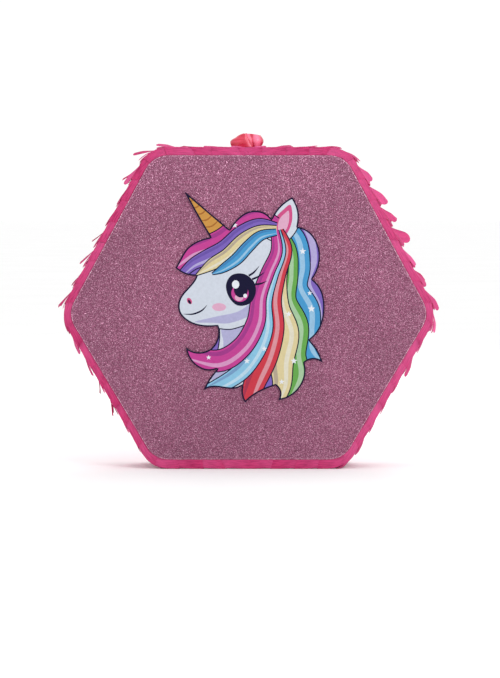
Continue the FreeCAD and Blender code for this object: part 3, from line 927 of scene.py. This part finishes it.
def printed_unicorn():
    """The cutout: all outlines are cut into one mesh, and each triangle takes its frontmost area's colour."""
    edge = card_edge()
    rim = inner_rim(edge)
    drawing = unicorn_drawing()
    points, lines = [], []
    for outline in [edge, rim] + [outline for colour, outline in drawing]:
        first, count = len(points), len(outline)
        lines += [(first + k, first + (k + 1) % count) for k in range(count)]
        points += [Vector(p[:2]) for p in outline]
    found = geometry.delaunay_2d_cdt(points, lines, [], 0, 1e-4, False)
    corners, triangles = found[0], found[2]
    centres = numpy.array([[sum(corners[i][k] for i in t) / 3 for k in (0, 1)] for t in triangles])
    colours = numpy.zeros(len(triangles), int)
    for k, (colour, outline) in enumerate(drawing):
        colours[inside(centres, outline)] = k
    colours[~inside(centres, rim)] = -1
    on_card = inside(centres, edge)
    bm = bmesh.new()
    ink = bm.loops.layers.float_color.new("ink")
    verts = [bm.verts.new((ART_X + c.x * MM, CARD_LOW.y, ART_Z + c.y * MM)) for c in corners]
    for triangle, kept, k in zip(triangles, on_card, colours):
        if not kept:
            continue
        face = bm.faces.new([verts[i] for i in triangle])
        for loop in face.loops:
            loop[ink] = linear(drawing[k][0] if k >= 0 else NAVY)
    bmesh.ops.delete(bm, geom=[v for v in bm.verts if not v.link_faces], context="VERTS")
    piece = put(bm, "printed_unicorn", "box", printed_card())
    thicken(piece, CARD_HIGH.y - CARD_LOW.y, -1)
    # The card's cut edge and back are unprinted.
    colours = piece.data.color_attributes["ink"].data
    for polygon in piece.data.polygons:
        if polygon.normal.y > -0.5:
            for k in polygon.loop_indices:
                colours[k].color = linear("#DAD6D8")
    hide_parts("unicorn_cutout")


printed_unicorn()


# ---------------- ribbon
RIBBON_THICKNESS = 0.3 * MM
# In millimetres: the ribbon's width, and the height at which the loop's lower edge lies.
RIBBON_WIDTH = 16.0
LOOP_SEAT = -1.4
# Stations round the loop, in millimetres from the slit's middle on the box: where the ribbon's lower edge
# is in plan, where its upper edge is in plan, how high the upper edge stands, and the satin's shade, over 0.5
# a painted highlight and under it painted fold shade.
# The ribbon leaves the slit, turns over to the left in a slanting fold, lies back round the loop, and
# comes in from the right over two soft creases.
LOOP_STATIONS = [
    (5.6, -1.4, -3.4, -1, 12.6, 0.3), (5.8, -3, -1.2, -2.2, 14.2, 0.5),
    (3.8, -3.9, -1.8, -3, 15, 0.7), (-1, -4.2, -3.6, -2.8, 15.5, 0.42),
    (-6.5, -4.2, -7.2, 0, 14.4, 0.5), (-12, -3, -10.8, 3.8, 12.6, 0.4),
    (-16.4, 0.6, -13.4, 7.5, 10.4, 0.35), (-17.6, 6.5, -12.6, 12, 9.2, 0.4),
    (-16.4, 15, -9.8, 16.6, 9.6, 0.5), (-10.8, 23.6, -6, 18.4, 10.8, 0.6),
    (-0.8, 27.6, 0.4, 20.2, 11.8, 0.5), (9.2, 25, 6.2, 18.6, 12.6, 0.4),
    (14.8, 18.4, 12, 14, 13.2, 0.5), (15.6, 10.4, 15.2, 8.2, 13.6, 0.3),
    (15.2, 3.4, 14.9, 4.6, 13.4, 0.25), (12.8, -0.6, 12.2, 1.6, 14, 0.95),
    (10.2, -1.2, 8.8, 0.8, 14.6, 0.85), (8.4, 0.2, 5.2, 1.6, 15, 0.15),
    (5.8, -1, 2.6, 0.6, 15.2, 0.8), (3.2, -1, 0.6, 0.4, 15.2, 0.9),
    (-1.6, -0.4, -1.2, 0.6, 14.4, 0.3),
]
# Inside the box it lies flat in the slit: half its width there, the heights it passes, where its two
# lengths are along Y, and its shade, low, so that it is painted dark as shade in the slit.
SLIT_HALF, SLIT_HEIGHTS, SLIT_FRONT, SLIT_REAR, SLIT_SHADE = 7.2, (-13, -6), -1.9, 1.3, 0.2
# When it is lifted, the loop bends from this place on, over this reach.
BEND_START = Vector((0, -2.0, 8)) * MM
BEND_REACH = Vector((0, 17, 0)) * MM
# The knot's half sizes.
KNOT_HALF = Vector((8.5, 5.6, 5.2)) * MM


def ribbon_grid(stations, columns=16):
    """A ribbon of constant width through stations of (lower edge, upper edge, shade). Where its edges come
    nearer than its width, it bows out. Gives the rows of points, and a shade for each row."""
    lower, upper, shades = (curve(line, closed=False, steps=6) for line in zip(*stations))
    width = RIBBON_WIDTH * MM
    rows = []
    run = 0.0
    for i, (b, t) in enumerate(zip(map(Vector, lower), map(Vector, upper))):
        ahead = Vector(lower[min(i + 1, len(lower) - 1)]) - Vector(lower[max(i - 1, 0)])
        out = ahead.cross(t - b).normalized()
        chord = (t - b).length
        bow = math.sqrt(max(0.0, 3 * chord * (width - chord) / 8))
        # The length is taken along the section's mean point.
        here = (b + t) / 2 - out * bow * 2 / math.pi
        if i:
            run += (here - before).length
        before = here
        line = []
        for k in range(columns + 1):
            share = k / columns
            place = b.lerp(t, share) - out * bow * math.sin(math.pi * share)
            line.append((place, share * width, run))
        rows.append(line)
    return rows, [shade for shade, in shades]


def satin_loop():
    """One length of ribbon: up through the slit, round the loop that lies back, and down again."""
    base = Vector(((LOOP_LOW.x + LOOP_HIGH.x) / 2, 0, LOOP_LOW.z))

    def in_slit(half, y, z):
        """The ribbon lying flat in the slit, with its lower edge at the left (-) or the right (+)."""
        return base + Vector((half, y, z)) * MM, base + Vector((-half, y, z)) * MM, [SLIT_SHADE]

    stations = [in_slit(SLIT_HALF, SLIT_FRONT, z) for z in SLIT_HEIGHTS]
    for x, y, top_x, top_y, height, shade in LOOP_STATIONS:
        low = Vector((x, y, LOOP_SEAT)) * MM
        top = Vector((top_x, top_y, LOOP_SEAT + height)) * MM
        stations.append((base + low, base + top, [shade]))
    stations += [in_slit(-SLIT_HALF, SLIT_REAR, z) for z in reversed(SLIT_HEIGHTS)]
    bm = paper_mesh()
    rows, shades = ribbon_grid(stations)
    for (here, there), shade in zip(zip(rows, rows[1:]), shades):
        add_patch(bm, [here, there], False, shade)
    piece = finish_sheet(bm, "satin_hanging_loop", None, SATIN, RIBBON_THICKNESS)
    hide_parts("hanging_ribbon")
    start = base + BEND_START
    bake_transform(piece, "box", "ribbon_loop", start, start + BEND_REACH)


def satin_tied_end():
    """The knot under the anchor plate, pleated where the ribbon is pulled tight, and its two cut tails."""
    middle = (KNOT_LOW + KNOT_HIGH) / 2
    plate_low = span("anchor_plate")[0].z
    centre = Vector((middle.x, 0, plate_low - RIBBON_THICKNESS - KNOT_HALF.z))
    bpy.ops.object.select_all(action="DESELECT")
    bpy.ops.mesh.primitive_uv_sphere_add(segments=40, ring_count=20, radius=1, location=(0, 0, 0))
    knot = bpy.context.object
    for vertex in knot.data.vertices:
        co = vertex.co.copy()
        angle = math.atan2(co.z, co.x)
        pleat = 1 + 0.07 * math.sin(5 * angle + 3 * co.y) - 0.16 * math.exp(-(co.y * 4 - 1.2 * co.x) ** 2)
        vertex.co = centre + Vector([a * b for a, b in zip(co, KNOT_HALF)]) * pleat
    knot.name = knot.data.name = "satin_knot"
    # The knot has no shade, which the satin reads as 0, so it is painted in its deepest fold shade all over.
    knot.data.materials.append(SATIN)
    for polygon in knot.data.polygons:
        polygon.use_smooth = True
    bm = paper_mesh()
    length = centre.z - KNOT_LOW.z
    steps, halves = 14, 3
    for side in (-1, 1):
        rows = []
        for i in range(steps + 1):
            share = i / steps
            # The tails spread below the knot, and each is cut to a swallow's tail.
            spread = 2.2 * MM + 2.4 * MM * min(1, share * 3)
            line = []
            for k in range(2 * halves + 1):
                q = k / halves - 1
                notch = 4 * MM * (1 - abs(q)) if i == steps else 0
                x = centre.x + side * (4.2 * MM + 2.5 * MM * share) + q * spread
                y = side * 1.2 * MM + (0.8 * math.sin(share * 7 + side) + 0.5 * q * q) * MM
                z = centre.z - length * share + notch
                line.append((Vector((x, y, z)), k * 2 * MM, share * length))
            rows.append(line)
        add_patch(bm, rows, False)
    tails = finish_sheet(bm, "satin_tails", "box", SATIN, RIBBON_THICKNESS)
    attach(knot, "box")
    for piece in (knot, tails):
        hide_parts("ribbon_knot")


satin_loop()
satin_tied_end()


# ---------------- hinge tape
def hinge_tape():
    """The flap's hinge: one strip of gummed tape, half on the back card and half on the flap."""
    upper_low, upper_high = span("hinge_tape_upper")
    lower_low, lower_high = span("hinge_tape_lower")
    fold = (upper_low.z + lower_high.z) / 2
    bend = Vector((0, 0, 1.2 * MM))
    columns = 40
    draw = random.Random(5)
    heights = [lower_low.z, lower_low.z + 6 * MM, lower_high.z - 3 * MM, lower_high.z - 1 * MM]
    heights += [fold + k * 0.4 * MM for k in range(-4, 5)]
    heights += [upper_low.z + 1 * MM, upper_low.z + 3 * MM, upper_high.z - 6 * MM, upper_high.z]
    heights = sorted(set(round(h, 6) for h in heights))
    bm = paper_mesh()
    rows = []
    for i, z in enumerate(heights):
        line = []
        for k in range(columns + 1):
            x = lower_low.x + (lower_high.x - lower_low.x) * k / columns
            # The tape was torn off along its two long edges.
            rough = draw.uniform(-0.35, 0.35) * MM if i in (0, len(heights) - 1) else 0.0
            line.append((Vector((x, upper_low.y, z + rough)), x, z))
        rows.append(line)
    add_patch(bm, rows, True)
    piece = finish_sheet(bm, "kraft_hinge_tape", None, TAPE, upper_high.y - upper_low.y)
    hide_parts("hinge_tape_upper", "hinge_tape_lower")
    middle = Vector((0, upper_low.y, fold))
    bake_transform(piece, "box", "flap", middle + bend, middle - bend)


hinge_tape()


# ---------------- camera, light, floor
def stand(name, data, place, target):
    """Sets up a lamp or a camera at a place, facing a target."""
    thing = bpy.data.objects.new(name, data)
    bpy.context.scene.collection.objects.link(thing)
    thing.location = place
    thing.rotation_euler = (Vector(target) - Vector(place)).to_track_quat("-Z", "Y").to_euler()
    return thing


def light(name, place, size, power):
    """A round white lamp, size metres across, that faces the middle of the box."""
    data = bpy.data.lights.new(name, "AREA")
    data.shape = "DISK"
    data.size = size
    data.energy = power
    stand(name, data, place, (0, 0, 0.2))


def studio():
    """A white room, three lamps, a floor and the camera."""
    scene = bpy.context.scene
    scene.view_settings.view_transform = "Standard"
    world = bpy.data.worlds.new("studio")
    world.use_nodes = True
    background = world.node_tree.nodes["Background"].inputs
    background["Color"].default_value = linear("#FFFFFF")
    background["Strength"].default_value = 1.04
    scene.world = world
    light("key", (1.0, -1.5, 1.3), 0.9, 12)
    light("fill", (-1.4, -1.6, 0.7), 1.4, 2)
    light("back", (0.2, 1.6, 1.4), 1.2, 8)

    bpy.ops.mesh.primitive_circle_add(vertices=96, radius=40, fill_type="NGON", location=(0, 0, 0))
    floor = bpy.context.object
    floor.name = "floor"
    sweep, add, place = blank("matt_white_floor")
    noise = add("TexNoise", {"Vector": place, "Scale": 3.0})
    colour = add("ValToRGB", {"Fac": noise}, {0.3: "#F8F8F8", 0.7: "#FBFBFB"})
    floor.data.materials.append(show(sweep, add("BsdfPrincipled", {"Base Color": colour, "Roughness": 0.9})))

    # A long lens, square to the face and 3 degrees above it.
    distance, height, raised = 3.0, 0.78, math.radians(3)
    target = Vector((1.5 * MM, FRONT_FACE, 150 * MM))
    data = bpy.data.cameras.new("camera")
    data.lens = 36 * distance / height
    data.sensor_width = 36
    data.clip_end = 200
    place = target + Vector((0, -math.cos(raised), math.sin(raised))) * distance
    scene.camera = stand("camera", data, place, target)


studio()
